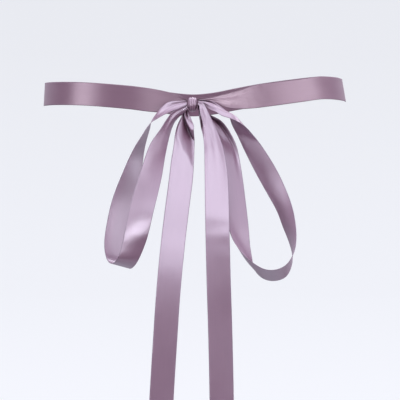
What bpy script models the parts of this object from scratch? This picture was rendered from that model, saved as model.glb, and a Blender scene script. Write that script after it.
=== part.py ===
"""A satin ribbon belt, worn: one ribbon round the waist, tied behind in a bow.

The origin is the middle of the waist ring, +Z is up and -Y is the wearer's back,
where the bow hangs. Tables are in millimetres: side is +X, up is +Z, and out is the
distance behind the middle of the waist (-Y).
"""
import math
from collections import namedtuple

import bmesh
import bpy
from mathutils import Vector

MM = 0.001

# Driving sizes, millimetres
RIBBON_WIDTH = 20.0
WALL = 1.0
WAIST_WIDTH = 259.0
WAIST_DEPTH = 190.0
TAIL_END = -560.0
FULL_WIDTH = 1.0

# Gathers across each stretch
LOOP_PLEATS = 2
LEFT_TAIL_PLEATS = 3
RIGHT_TAIL_PLEATS = 2
BAND_PLEATS = 2
TIGHTEST_BEND = 0.7

# Knot
KNOT_SIDE = -0.6
KNOT_OUT = 101.0
KNOT_UP = -13.8
WRAP_WIDTH = 6.2
WRAP_FOOT_WIDTH = 4.8
WRAP_HALF_DEPTH = 5.4
WRAP_HALF_HEIGHT = 5.8
WRAP_WALL = 1.1
WRAP_PLEATS = 2.5
WRAP_PLEAT_DEPTH = 0.22
WRAP_DOME = 0.45
CORE_HALF_LENGTH = 3.9
CORE_BLUNTNESS = 0.5
SEAM_GAP = 0.35
ON_AXIS = 1e-6

# Mesh fineness
LOOP_STEP = 4.6
TAIL_STEP = 6.0
BAND_STEP = 5.2
ACROSS = 10
BAND_ACROSS = 6
WRAP_ROUND = 32
WRAP_ACROSS = 8
CORE_ROUND = 24
CORE_RINGS = 14

# A cross-section of the ribbon: its two edges, the share of the flat width that it
# spans there (less than 1 where it is gathered), and how far its middle stands proud.
Section = namedtuple(
    "Section", "side_a up_a out_a side_b up_b out_b spread belly", defaults=(FULL_WIDTH, 0.0)
)

# Left loop, from the knot down its back strand, round the bend at the bottom and up
# its front strand. Edge a is the near edge and edge b the one next to the back.
LEFT_LOOP = [
    Section(-4.9, -14.2, 101.3, -4.9, -10.4, 100.2, 0.20),
    Section(-11.2, -17.0, 103.0, -10.6, -10.5, 100.0, 0.36),
    Section(-18.6, -20.4, 107.0, -20.6, -11.7, 100.2, 0.56, 0.6),
    Section(-24.5, -23.2, 113.0, -27.2, -16.9, 101.0, 0.70, 0.8),
    Section(-30.2, -26.4, 119.0, -31.8, -22.7, 103.0, 0.84, 0.5),
    Section(-34.9, -29.3, 122.5, -35.1, -28.2, 104.5, 0.92),
    Section(-38.4, -33.6, 125.0, -36.2, -33.4, 106.0, 0.98),
    Section(-42.6, -40.5, 127.5, -38.3, -41.0, 108.0),
    Section(-48.4, -49.7, 129.5, -40.8, -51.6, 111.0),
    Section(-56.6, -67.2, 131.5, -43.6, -70.4, 117.0),
    Section(-66.8, -93.2, 136.0, -51.5, -98.0, 124.0),
    Section(-71.9, -117.7, 142.0, -56.4, -121.6, 130.5),
    Section(-73.1, -131.9, 146.0, -57.2, -134.8, 134.5),
    Section(-70.8, -142.3, 151.0, -55.4, -145.6, 139.0),
    Section(-66.5, -146.0, 157.0, -52.0, -150.5, 144.0),
    Section(-61.8, -141.8, 162.0, -46.8, -146.0, 150.0),
    Section(-58.9, -131.4, 162.5, -40.0, -133.0, 156.0),
    Section(-56.0, -117.6, 160.0, -36.3, -121.3, 157.0),
    Section(-51.2, -98.0, 154.5, -32.6, -102.2, 148.5),
    Section(-43.3, -73.2, 147.0, -27.0, -75.6, 136.0),
    Section(-36.0, -49.0, 135.0, -22.8, -53.8, 121.5),
    Section(-27.6, -35.5, 125.0, -19.2, -38.3, 110.0, 0.88),
    Section(-22.3, -26.4, 117.0, -15.7, -29.3, 106.0, 0.66),
    Section(-17.7, -20.4, 111.0, -11.8, -24.3, 104.5, 0.50),
    Section(-11.0, -16.6, 106.5, -8.2, -21.3, 103.6, 0.34),
    Section(-4.9, -14.3, 104.6, -4.9, -18.2, 103.3, 0.21),
]

# Right loop, from the knot out along its back strand, over the turned shoulder, down
# to the bend, and up its front strand. Edge a is the near edge.
RIGHT_LOOP = [
    Section(3.7, -12.8, 101.6, 3.7, -9.6, 100.2, 0.17),
    Section(9.9, -14.4, 102.6, 9.9, -9.9, 100.2, 0.25),
    Section(13.7, -18.2, 106.5, 15.3, -10.7, 100.8, 0.47, 0.4),
    Section(18.7, -20.5, 112.0, 19.9, -13.4, 102.0, 0.61, 0.8),
    Section(23.7, -23.7, 117.5, 24.1, -16.8, 104.0, 0.76, 1.2),
    Section(29.8, -25.5, 122.0, 27.9, -19.6, 107.5, 0.80, 1.6),
    Section(36.4, -28.2, 125.0, 29.5, -21.3, 110.5, 0.90, 2.0),
    Section(43.8, -33.2, 123.5, 30.3, -24.4, 111.5, 0.98, 1.6),
    Section(49.4, -38.6, 120.5, 31.8, -30.8, 110.0, 1.00, 0.8),
    Section(54.2, -44.4, 119.5, 36.9, -40.2, 108.0, 1.00, 0.2),
    Section(60.7, -54.2, 121.0, 44.6, -55.9, 109.0),
    Section(69.3, -68.4, 124.5, 52.9, -72.5, 113.5),
    Section(76.5, -84.3, 131.0, 61.5, -87.8, 118.5),
    Section(82.0, -100.4, 139.0, 69.6, -102.5, 124.0),
    Section(84.6, -115.2, 146.0, 74.4, -115.6, 129.0),
    Section(84.8, -127.5, 151.0, 79.3, -128.0, 132.0),
    Section(82.9, -136.9, 155.0, 82.2, -139.1, 135.3),
    Section(77.9, -145.5, 157.0, 81.4, -148.6, 137.5),
    Section(72.1, -149.6, 158.0, 76.8, -157.4, 140.0),
    Section(64.3, -151.4, 159.0, 67.2, -160.7, 141.5),
    Section(57.4, -150.1, 159.0, 58.6, -159.2, 141.0),
    Section(50.4, -146.3, 158.0, 52.6, -154.2, 140.0, 1.00, 0.6),
    Section(43.4, -140.6, 157.0, 49.9, -149.1, 140.0, 1.00, 1.6),
    Section(36.9, -133.1, 153.5, 48.9, -142.0, 139.0, 1.00, 2.2),
    Section(31.6, -124.7, 148.0, 47.6, -132.6, 136.5, 1.00, 1.6),
    Section(28.6, -112.0, 140.5, 45.7, -116.6, 132.5, 1.00, 0.6),
    Section(25.6, -93.8, 132.5, 43.2, -95.5, 125.5),
    Section(22.2, -70.5, 123.5, 40.3, -70.5, 116.0),
    Section(18.4, -52.1, 115.6, 36.8, -51.4, 108.5),
    Section(15.4, -37.8, 109.8, 31.7, -39.0, 104.0, 0.87, 0.6),
    Section(12.6, -27.8, 105.4, 24.0, -28.2, 101.6, 0.60, 0.8),
    Section(9.0, -20.6, 102.6, 14.6, -23.0, 100.4, 0.32),
    Section(4.0, -14.6, 100.6, 4.0, -18.2, 99.4, 0.19),
]

# Left tail, from under the knot to its cut end. Edge a is its left edge in the back view.
LEFT_TAIL = [
    Section(-6.3, -16.9, 99.4, -3.8, -18.7, 100.6, 0.18),
    Section(-8.8, -22.0, 101.0, -2.9, -22.7, 103.0, 0.32),
    Section(-10.9, -26.0, 102.6, -1.4, -26.8, 105.6, 0.50),
    Section(-13.4, -31.8, 106.0, 0.5, -31.6, 109.0, 0.71),
    Section(-15.2, -39.5, 110.0, 0.4, -39.5, 112.0, 0.79),
    Section(-16.4, -49.5, 114.0, 0.6, -49.5, 115.5, 0.86),
    Section(-18.2, -60.4, 118.5, 0.6, -60.4, 119.5, 0.95),
    Section(-20.1, -77.2, 125.0, -0.4, -77.2, 125.0),
    Section(-22.3, -93.8, 131.0, -2.5, -94.4, 131.0),
    Section(-25.1, -118.6, 139.5, -5.9, -120.4, 139.0),
    Section(-26.9, -135.0, 144.5, -7.6, -136.6, 144.0),
    Section(-28.8, -155.5, 148.5, -9.6, -157.0, 148.0),
    Section(-30.7, -176.0, 150.5, -11.0, -177.2, 150.5),
    Section(-32.4, -200.7, 151.5, -12.6, -202.0, 151.5),
    Section(-35.5, -250.0, 152.5, -15.6, -251.0, 152.5),
    Section(-43.0, -400.0, 153.0, -23.2, -401.0, 153.0),
    Section(-49.0, TAIL_END, 153.0, -29.2, TAIL_END - 0.8, 153.0),
]

# Right tail, out of the top of the knot, over its side and down to its cut end.
RIGHT_TAIL = [
    Section(3.7, -14.0, 104.4, 3.7, -10.8, 103.6, 0.17),
    Section(6.6, -15.8, 107.2, 8.6, -12.6, 105.4, 0.19),
    Section(8.2, -21.0, 110.2, 12.8, -20.0, 108.0, 0.26),
    Section(8.8, -28.6, 114.0, 16.7, -28.4, 111.2, 0.42),
    Section(9.0, -38.8, 118.4, 20.5, -38.6, 115.6, 0.60),
    Section(9.2, -49.7, 123.0, 24.3, -49.5, 121.0, 0.77),
    Section(9.5, -63.0, 128.2, 27.3, -62.8, 127.2, 0.90),
    Section(9.7, -77.2, 133.2, 28.9, -77.2, 132.8, 0.97),
    Section(10.0, -102.1, 141.4, 29.7, -102.1, 141.8),
    Section(10.2, -116.9, 146.0, 30.0, -116.9, 147.0),
    Section(10.6, -135.0, 150.0, 30.4, -135.0, 150.5),
    Section(11.3, -163.7, 152.0, 31.0, -163.7, 152.0),
    Section(12.4, -200.7, 152.5, 32.2, -200.7, 152.5),
    Section(13.5, -250.0, 153.0, 33.3, -250.0, 153.0),
    Section(15.4, -400.0, 153.0, 35.2, -400.0, 153.0),
    Section(16.6, TAIL_END, 153.0, 36.4, TAIL_END, 153.0),
]

# The waist band. Turn is the angle round the waist from the middle of the back, first
# past the wearer's left side; stand is how far it lies outside the waist ring, and
# flare how much further out its lower edge lies.
Waist = namedtuple("Waist", "turn top bottom stand flare")
WAIST_BAND = [
    Waist(2.1, -9.8, -13.6, 3.0, 0.0),
    Waist(5.0, -6.0, -17.0, 1.8, 0.0),
    Waist(8.7, -3.2, -20.0, 0.9, 0.0),
    Waist(16.3, 0.3, -19.5, 0.3, 0.0),
    Waist(25.3, 2.9, -17.0, 0.0, 0.0),
    Waist(46.0, 6.4, -13.4, 0.0, 0.5),
    Waist(68.0, 7.8, -12.1, 0.0, 1.0),
    Waist(90.0, 8.2, -11.7, 0.0, 1.1),
    Waist(112.0, 10.2, -9.7, 0.0, 1.2),
    Waist(134.0, 11.2, -8.7, 0.0, 1.4),
    Waist(150.0, 9.8, -10.1, 0.0, 1.6),
    Waist(163.0, 6.4, -13.5, 0.0, 1.8),
    Waist(172.0, 3.2, -16.7, 0.0, 1.9),
    Waist(180.0, 1.8, -18.1, 0.0, 2.0),
    Waist(188.0, 3.4, -16.5, 0.0, 2.1),
    Waist(197.0, 7.2, -12.7, 0.0, 2.2),
    Waist(208.0, 11.2, -8.7, 0.0, 2.4),
    Waist(224.0, 14.6, -5.3, 0.0, 2.6),
    Waist(240.0, 16.1, -3.8, 0.0, 3.0),
    Waist(256.0, 14.4, -5.5, 0.0, 3.3),
    Waist(270.0, 11.7, -8.2, 0.0, 3.5),
    Waist(302.0, 12.2, -7.6, 0.0, 2.8),
    Waist(316.0, 9.0, -10.7, 0.0, 1.6),
    Waist(335.5, 3.5, -16.1, 0.2, 0.5),
    Waist(341.0, -0.1, -17.1, 0.4, 0.5),
    Waist(344.3, -2.3, -16.9, 0.8, 0.6),
    Waist(348.0, -4.6, -15.9, 1.5, 0.6),
    Waist(350.0, -5.7, -13.8, 2.0, 0.4),
    Waist(351.6, -6.5, -11.8, 2.4, 0.2),
    Waist(354.0, -7.3, -10.6, 2.8, 0.0),
    Waist(358.35, -8.6, -12.0, 3.2, 0.0),
]


def clear_scene():
    """Start from an empty scene."""
    for thing in list(bpy.data.objects):
        bpy.data.objects.remove(thing, do_unlink=True)


def collection_for_belt():
    """The collection that every piece goes in."""
    belt = bpy.data.collections.new("satin_bow_belt")
    bpy.context.scene.collection.children.link(belt)
    return belt


def satin_material(name, colour, roughness):
    """A plain satin colour for one stretch of the ribbon."""
    material = bpy.data.materials.new(name)
    material.use_nodes = True
    shader = material.node_tree.nodes["Principled BSDF"]
    shader.inputs["Base Color"].default_value = (*colour, 1.0)
    shader.inputs["Roughness"].default_value = roughness
    shader.inputs["Metallic"].default_value = 0.0
    return material


def place(side, up, out):
    """A point in metres from a table's millimetres."""
    return Vector((side, -out, up)) * MM


def slopes(stations, values):
    """The slope of a smooth curve at each station, from its neighbours."""
    last = len(values) - 1
    found = []
    for i in range(last + 1):
        before = max(i - 1, 0)
        after = min(i + 1, last)
        found.append((values[after] - values[before]) / (stations[after] - stations[before]))
    return found


def smooth_value(stations, values, tangents, at):
    """Read a smooth curve through the stations at one place along it."""
    span = 0
    while span < len(stations) - 2 and at > stations[span + 1]:
        span += 1
    length = stations[span + 1] - stations[span]
    t = (at - stations[span]) / length
    start = (2 * t**3 - 3 * t**2 + 1) * values[span]
    start_pull = (t**3 - 2 * t**2 + t) * length * tangents[span]
    end = (-2 * t**3 + 3 * t**2) * values[span + 1]
    end_pull = (t**3 - t**2) * length * tangents[span + 1]
    return start + start_pull + end + end_pull


def even_sections(rows, step):
    """Sections at even steps along the ribbon, read from its table."""
    edges_a = [place(r.side_a, r.up_a, r.out_a) for r in rows]
    edges_b = [place(r.side_b, r.up_b, r.out_b) for r in rows]
    stations = [0.0]
    for i in range(1, len(rows)):
        middle = (edges_a[i] + edges_b[i]) / 2
        middle_before = (edges_a[i - 1] + edges_b[i - 1]) / 2
        stations.append(stations[-1] + (middle - middle_before).length)
    columns = [
        edges_a,
        edges_b,
        [r.spread for r in rows],
        [r.belly * MM for r in rows],
    ]
    tangents = [slopes(stations, column) for column in columns]
    count = round(stations[-1] / (step * MM))
    sections = []
    for i in range(count + 1):
        at = stations[-1] * i / count
        sections.append(
            [smooth_value(stations, column, slope, at) for column, slope in zip(columns, tangents)]
        )
    return sections


def pleat_depth(width, spread, pleats):
    """How deep the gathers stand: as their slack asks, while the wall stays clear of itself."""
    slack = max(1 / spread - 1, 0)
    wave = width / pleats
    from_slack = wave * math.sqrt(slack) / math.pi
    from_wall = TIGHTEST_BEND * wave**2 / (4 * math.pi**2 * WALL * MM / 2)
    return min(from_slack, from_wall)


def section_points(edge_a, edge_b, spread, belly, along, pleats, across):
    """Points across the ribbon from one edge to the other, with its gathers and its bulge."""
    spread = min(spread, FULL_WIDTH)
    width = RIBBON_WIDTH * MM * spread
    middle = (edge_a + edge_b) / 2
    direction = (edge_b - edge_a).normalized()
    face = along.cross(direction).normalized()
    depth = pleat_depth(width, spread, pleats)
    points = []
    for i in range(across + 1):
        u = i / across
        lift = depth * (math.cos(2 * math.pi * pleats * u) - 1) / 2
        lift += belly * math.sin(math.pi * u)
        points.append(middle + direction * (u - 0.5) * width + face * lift)
    return points


def rows_to_mesh(name, rows_of_points, closed=False):
    """An open surface of quads through rows of points."""
    mesh = bpy.data.meshes.new(name)
    bm = bmesh.new()
    grid = [[bm.verts.new(point) for point in row] for row in rows_of_points]
    count = len(grid) if closed else len(grid) - 1
    for i in range(count):
        row = grid[i]
        following = grid[(i + 1) % len(grid)]
        for j in range(len(row) - 1):
            bm.faces.new((row[j], row[j + 1], following[j + 1], following[j]))
    bmesh.ops.recalc_face_normals(bm, faces=bm.faces)
    bm.to_mesh(mesh)
    bm.free()
    mesh.shade_smooth()
    return mesh


def cloth_piece(collection, name, mesh, material, wall=WALL):
    """A piece of cloth: its middle surface, thickened evenly on both sides."""
    piece = bpy.data.objects.new(name, mesh)
    collection.objects.link(piece)
    piece.data.materials.append(material)
    solid = piece.modifiers.new("cloth_thickness", "SOLIDIFY")
    solid.thickness = wall * MM
    solid.offset = 0.0
    solid.use_even_offset = False
    solid.use_rim = True
    return piece


def direction_along(middles, i):
    """The direction of the ribbon at one section."""
    before = middles[max(i - 1, 0)]
    after = middles[min(i + 1, len(middles) - 1)]
    return (after - before).normalized()


def ribbon_stretch(collection, name, rows, step, pleats, material):
    """One stretch of ribbon, drawn through its table's sections."""
    sections = even_sections(rows, step)
    middles = [(edge_a + edge_b) / 2 for edge_a, edge_b, spread, belly in sections]
    lines = []
    for i, (edge_a, edge_b, spread, belly) in enumerate(sections):
        along = direction_along(middles, i)
        lines.append(section_points(edge_a, edge_b, spread, belly, along, pleats, ACROSS))
    return cloth_piece(collection, name, rows_to_mesh(name, lines), material)


def waist_point(turn, up, stand):
    """A point on the waist ring's ellipse, or a little outside it."""
    angle = math.radians(turn)
    half_width = WAIST_WIDTH / 2 + stand
    half_depth = WAIST_DEPTH / 2 + stand
    return place(-half_width * math.sin(angle), up, half_depth * math.cos(angle))


def waist_band(collection, material):
    """The band round the waist, open at the knot, gathered at both of its ends."""
    turns = [row.turn for row in WAIST_BAND]
    columns = [[getattr(row, field) for row in WAIST_BAND] for field in Waist._fields[1:]]
    tangents = [slopes(turns, column) for column in columns]
    girth = math.pi * (WAIST_WIDTH + WAIST_DEPTH) / 2
    count = round(girth / BAND_STEP)
    lines = []
    for i in range(count + 1):
        turn = turns[0] + (turns[-1] - turns[0]) * i / count
        top, bottom, stand, flare = [
            smooth_value(turns, column, slope, turn) for column, slope in zip(columns, tangents)
        ]
        upper = waist_point(turn, top, stand)
        lower = waist_point(turn, bottom, stand + flare)
        along = waist_point(turn + 1, 0, 0) - waist_point(turn - 1, 0, 0)
        along.normalize()
        spread = min((top - bottom) / RIBBON_WIDTH, FULL_WIDTH)
        lines.append(section_points(upper, lower, spread, 0.0, along, BAND_PLEATS, BAND_ACROSS))
    return cloth_piece(collection, "waist_band", rows_to_mesh("waist_band", lines), material)


def knot_wrap(collection, material):
    """The turn of ribbon that crosses the knot, softly pleated up and down."""
    lines = []
    for i in range(WRAP_ROUND):
        angle = 2 * math.pi * i / WRAP_ROUND
        height = math.sin(angle)
        width = WRAP_FOOT_WIDTH + (WRAP_WIDTH - WRAP_FOOT_WIDTH) * (1 + height) / 2
        line = []
        for j in range(WRAP_ACROSS + 1):
            u = j / WRAP_ACROSS
            lift = WRAP_PLEAT_DEPTH * math.cos(2 * math.pi * WRAP_PLEATS * u)
            lift -= WRAP_DOME * (2 * u - 1) ** 2
            out = KNOT_OUT + (WRAP_HALF_DEPTH + lift) * math.cos(angle)
            up = KNOT_UP + (WRAP_HALF_HEIGHT + lift) * height
            line.append(place(KNOT_SIDE + (u - 0.5) * width, up, out))
        lines.append(line)
    mesh = rows_to_mesh("knot_wrap", lines, closed=True)
    return cloth_piece(collection, "knot_wrap", mesh, material, WRAP_WALL)


def blunt(value):
    """Swell a ball's coordinate towards a block's."""
    return math.copysign(abs(value) ** CORE_BLUNTNESS, value)


def knot_core(collection, material):
    """The ribbon bundled inside the knot, which every stretch runs into."""
    mesh = bpy.data.meshes.new("knot_core")
    bm = bmesh.new()
    bmesh.ops.create_uvsphere(bm, u_segments=CORE_ROUND, v_segments=CORE_RINGS, radius=1.0)
    inset = WRAP_WALL / 2 + WRAP_DOME + WRAP_PLEAT_DEPTH + SEAM_GAP
    half_depth = WRAP_HALF_DEPTH - inset
    half_height = WRAP_HALF_HEIGHT - inset
    for vert in bm.verts:
        along = blunt(vert.co.z)
        ring = math.hypot(vert.co.x, vert.co.y)
        swell = blunt(ring) / ring if ring > ON_AXIS else 0.0
        out = KNOT_OUT + half_depth * vert.co.x * swell
        up = KNOT_UP + half_height * vert.co.y * swell
        vert.co = place(KNOT_SIDE + CORE_HALF_LENGTH * along, up, out)
    bm.normal_update()
    bmesh.ops.recalc_face_normals(bm, faces=bm.faces)
    bm.to_mesh(mesh)
    bm.free()
    mesh.shade_smooth()
    core = bpy.data.objects.new("knot_core", mesh)
    collection.objects.link(core)
    core.data.materials.append(material)
    return core


clear_scene()
belt = collection_for_belt()
band_satin = satin_material("band_satin", (0.36, 0.22, 0.32), 0.42)
left_loop_satin = satin_material("left_loop_satin", (0.40, 0.25, 0.36), 0.40)
right_loop_satin = satin_material("right_loop_satin", (0.34, 0.20, 0.30), 0.40)
left_tail_satin = satin_material("left_tail_satin", (0.42, 0.27, 0.38), 0.38)
right_tail_satin = satin_material("right_tail_satin", (0.41, 0.26, 0.37), 0.38)
wrap_satin = satin_material("wrap_satin", (0.37, 0.23, 0.33), 0.42)
core_satin = satin_material("core_satin", (0.30, 0.18, 0.27), 0.45)

waist_band(belt, band_satin)
ribbon_stretch(belt, "bow_loop_left", LEFT_LOOP, LOOP_STEP, LOOP_PLEATS, left_loop_satin)
ribbon_stretch(belt, "bow_loop_right", RIGHT_LOOP, LOOP_STEP, LOOP_PLEATS, right_loop_satin)
ribbon_stretch(belt, "tail_left", LEFT_TAIL, TAIL_STEP, LEFT_TAIL_PLEATS, left_tail_satin)
ribbon_stretch(belt, "tail_right", RIGHT_TAIL, TAIL_STEP, RIGHT_TAIL_PLEATS, right_tail_satin)
knot_wrap(belt, wrap_satin)
knot_core(belt, core_satin)
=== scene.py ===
# %% [markdown]
# # A satin ribbon belt, tied behind in a bow
# This lesson dresses a plain CAD belt as real satin ribbon. The belt is one ribbon,
# 20 mm wide: it goes once round the waist, is tied behind in a bow with two loops, and
# its two ends hang down as long tails. The CAD solids give the place and size of every
# stretch, so the first step opens them and notes their box. Everything after that is
# drawn in the same place and in the same units, metres.

# %% Open the CAD belt
import math
from collections import namedtuple

import bmesh
import bpy
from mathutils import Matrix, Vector


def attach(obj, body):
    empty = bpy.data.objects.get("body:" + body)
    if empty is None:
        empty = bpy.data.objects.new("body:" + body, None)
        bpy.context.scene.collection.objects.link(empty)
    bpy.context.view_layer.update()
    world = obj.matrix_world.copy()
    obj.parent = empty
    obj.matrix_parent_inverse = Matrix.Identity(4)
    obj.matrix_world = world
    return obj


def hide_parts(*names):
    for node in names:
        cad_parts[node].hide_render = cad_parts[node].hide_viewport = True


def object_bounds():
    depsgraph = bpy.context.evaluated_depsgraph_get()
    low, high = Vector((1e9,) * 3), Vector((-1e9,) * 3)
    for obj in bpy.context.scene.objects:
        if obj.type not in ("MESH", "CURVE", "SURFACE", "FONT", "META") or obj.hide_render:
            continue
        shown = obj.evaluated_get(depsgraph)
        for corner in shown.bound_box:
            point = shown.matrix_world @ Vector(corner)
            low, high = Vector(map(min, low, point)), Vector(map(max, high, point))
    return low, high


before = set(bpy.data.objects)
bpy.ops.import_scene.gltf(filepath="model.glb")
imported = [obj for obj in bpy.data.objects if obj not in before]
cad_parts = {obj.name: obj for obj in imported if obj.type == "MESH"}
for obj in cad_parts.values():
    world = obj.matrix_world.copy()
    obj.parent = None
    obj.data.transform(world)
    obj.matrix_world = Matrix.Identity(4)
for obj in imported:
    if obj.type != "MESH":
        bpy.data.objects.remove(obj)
cad_low, cad_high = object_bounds()
MM = 0.001
print("CAD pieces:", sorted(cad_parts))
print("CAD box, mm:", [round(size / MM) for size in (cad_high - cad_low)])

# %% [markdown]
# ## The camera
# The belt is seen square on to the bow, level, from a good distance with a long lens.
# A long lens keeps the tails parallel. The lens is first given in picture points, which
# is easier to measure than a focal length: a thing as wide as it is far away would be
# so many points wide. Blender wants it as millimetres for a 36 mm wide sensor. The
# plain colour view keeps the mauve as saturated as it is mixed, where a film-like view
# would wash it out.

# %% Set the camera
CAMERA_SIDE = 0.0057
CAMERA_HEIGHT = -0.0938
CAMERA_DISTANCE = 2.6
PICTURE_SIZE = 400
FOCAL_PIXELS = 2978
SENSOR_WIDTH = 36.0

camera_data = bpy.data.cameras.new("bow_view")
camera_data.sensor_width = SENSOR_WIDTH
camera_data.lens = SENSOR_WIDTH * FOCAL_PIXELS / PICTURE_SIZE
camera = bpy.data.objects.new("bow_view", camera_data)
bpy.context.scene.collection.objects.link(camera)
camera.location = (CAMERA_SIDE, -CAMERA_DISTANCE, CAMERA_HEIGHT)
camera.rotation_euler = (math.radians(90), 0, 0)
bpy.context.scene.camera = camera
bpy.context.scene.view_settings.view_transform = "Standard"
print("Lens, mm:", round(camera_data.lens, 1))

# %% [markdown]
# ## The sky
# Satin shows its folds only where the light has a direction, because it mirrors what
# stands round it. So the sky isn't even. It is bright above, dim towards the horizon and
# dim on the upper right. Cloth that leans back then catches light, and cloth that hangs
# straight or turns away stays darker. A little light comes from far below and from
# behind, as a pale studio throws it back. A picture of a real sky could light the belt
# too, but then its lights lie where they happen to be. Here each part is a smooth ramp
# over one part of the direction in which the sky is seen, and the ramps are put
# together with sums.

# %% Shade the sky
SKY_COLOUR = (0.90, 0.90, 1.0)
SKY_LOW = 0.14
SKY_HIGH = 1.20
SKY_BELOW = 0.55
SKY_RIGHT = 0.30
SKY_BEHIND = 0.50

sky = bpy.data.worlds.new("soft_sky")
sky.use_nodes = True
sky_tree = sky.node_tree
sky_light = sky_tree.nodes["Background"]
sky_light.inputs["Color"].default_value = (*SKY_COLOUR, 1.0)
directions = sky_tree.nodes.new("ShaderNodeTexCoord")
split_sky = sky_tree.nodes.new("ShaderNodeSeparateXYZ")
sky_tree.links.new(directions.outputs["Generated"], split_sky.inputs["Vector"])


def sky_ramp(axis, start, end, low, high):
    """A strength that changes smoothly with one part of the direction."""
    node = sky_tree.nodes.new("ShaderNodeMapRange")
    node.interpolation_type = "SMOOTHSTEP"
    node.inputs["From Min"].default_value = start
    node.inputs["From Max"].default_value = end
    node.inputs["To Min"].default_value = low
    node.inputs["To Max"].default_value = high
    sky_tree.links.new(split_sky.outputs[axis], node.inputs["Value"])
    return node.outputs["Result"]


def sky_math(operation, first, second):
    """Two strengths combined."""
    node = sky_tree.nodes.new("ShaderNodeMath")
    node.operation = operation
    sky_tree.links.new(first, node.inputs[0])
    sky_tree.links.new(second, node.inputs[1])
    return node.outputs["Value"]


above = sky_ramp("Z", start=0.05, end=0.62, low=0.0, high=SKY_HIGH - SKY_LOW)
turned_away = sky_ramp("X", start=0.66, end=0.90, low=1.0, high=SKY_RIGHT)
below = sky_ramp("Z", start=-0.55, end=-0.80, low=SKY_LOW, high=SKY_BELOW)
behind = sky_ramp("Y", start=0.20, end=0.80, low=0.0, high=SKY_BEHIND)
upper_sky = sky_math("MULTIPLY", above, turned_away)
lower_sky = sky_math("ADD", below, behind)
sky_tree.links.new(sky_math("ADD", upper_sky, lower_sky), sky_light.inputs["Strength"])
bpy.context.scene.world = sky
print("Sky nodes:", len(sky_tree.nodes))

# %% [markdown]
# ## Soft boxes
# A gleam on satin is a lamp's reflection, drawn out by the folds. So each lamp is placed
# by its bearing round the bow and its height angle, where a fold needs its gleam. One
# large soft box stands high in front, to the left, and a second one hangs overhead.
# Wide boxes at the sides light the insides of the loops. Two narrow strips put a soft
# gleam on the band on each side of the knot, and a box behind lights the far side.
# Point lamps would do it with less, but on satin they leave hard bright dots. Angles
# are in degrees, sizes in metres and power in watts.

# %% Place the soft boxes
BOW_PLACE = Vector((0.0, -0.12, -0.09))
SoftBox = namedtuple("SoftBox", "name turn climb distance width height power colour")
SOFT_BOXES = [
    SoftBox("high_soft_box", -13, 38, 2.2, 2.1, 0.95, 11.0, (0.96, 0.955, 1.0)),
    SoftBox("overhead_soft_box", -50, 72, 1.8, 1.6, 0.9, 6.7, (0.96, 0.955, 1.0)),
    SoftBox("right_upper_box", 70, 12, 2.0, 1.5, 0.95, 10.2, (0.97, 0.94, 1.0)),
    SoftBox("right_lower_box", 98, -8, 2.0, 1.1, 1.2, 9.2, (0.96, 0.93, 1.0)),
    SoftBox("left_fill_box", -78, -10, 2.0, 0.8, 1.8, 13.5, (0.97, 0.93, 1.0)),
    SoftBox("left_strip_box", -26, 4, 2.0, 0.20, 0.5, 1.9, (0.97, 0.95, 1.0)),
    SoftBox("right_strip_box", 27, 4, 2.0, 0.28, 0.5, 8.0, (0.97, 0.95, 1.0)),
    SoftBox("back_soft_box", 150, 40, 2.4, 1.4, 1.0, 14.0, (1.0, 0.99, 0.98)),
]


def place_soft_box(box):
    """An area light that faces the bow, placed by its bearing and its height angle."""
    climb = math.radians(box.climb)
    bearing = math.radians(box.turn)
    flat = box.distance * math.cos(climb)
    height = box.distance * math.sin(climb)
    spot = BOW_PLACE + Vector((flat * math.sin(bearing), -flat * math.cos(bearing), height))
    light = bpy.data.lights.new(box.name, "AREA")
    light.shape = "RECTANGLE"
    light.size = box.width
    light.size_y = box.height
    light.energy = box.power
    light.color = box.colour
    lamp = bpy.data.objects.new(box.name, light)
    bpy.context.scene.collection.objects.link(lamp)
    lamp.location = spot
    lamp.rotation_euler = (BOW_PLACE - spot).to_track_quat("-Z", "Y").to_euler()
    return lamp


lamps = [place_soft_box(box) for box in SOFT_BOXES]
print("Lights:", [lamp.name for lamp in lamps])

# %% [markdown]
# ## A pale studio floor
# The floor is a wide shallow bowl: flat in the middle and curved up at the rim, so that
# no line shows where floor and wall meet, whichever way the camera looks. A flat plane
# would be simpler, but its far edge would show. The bowl is made from a short profile
# turned round the upright axis, each point given by its distance from that axis and its
# height. A glow of its own keeps it evenly pale. It is no part of the belt, and it is
# kept out of the satin's reflections.

# %% Turn the floor's profile
FLOOR_DROP = 0.07
FLOOR_PROFILE = [
    (0.0, 0.0),
    (2.5, 0.0),
    (4.6, 0.0),
    (6.2, 0.25),
    (7.2, 1.0),
    (7.7, 2.2),
    (7.9, 4.0),
]
FLOOR_SEGMENTS = 72
FLOOR_COLOUR = (0.22, 0.22, 0.23)
FLOOR_GLOW_COLOUR = (0.94, 0.96, 1.0)
FLOOR_GLOW = 0.70
FLOOR_ROUGHNESS = 0.9

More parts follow.
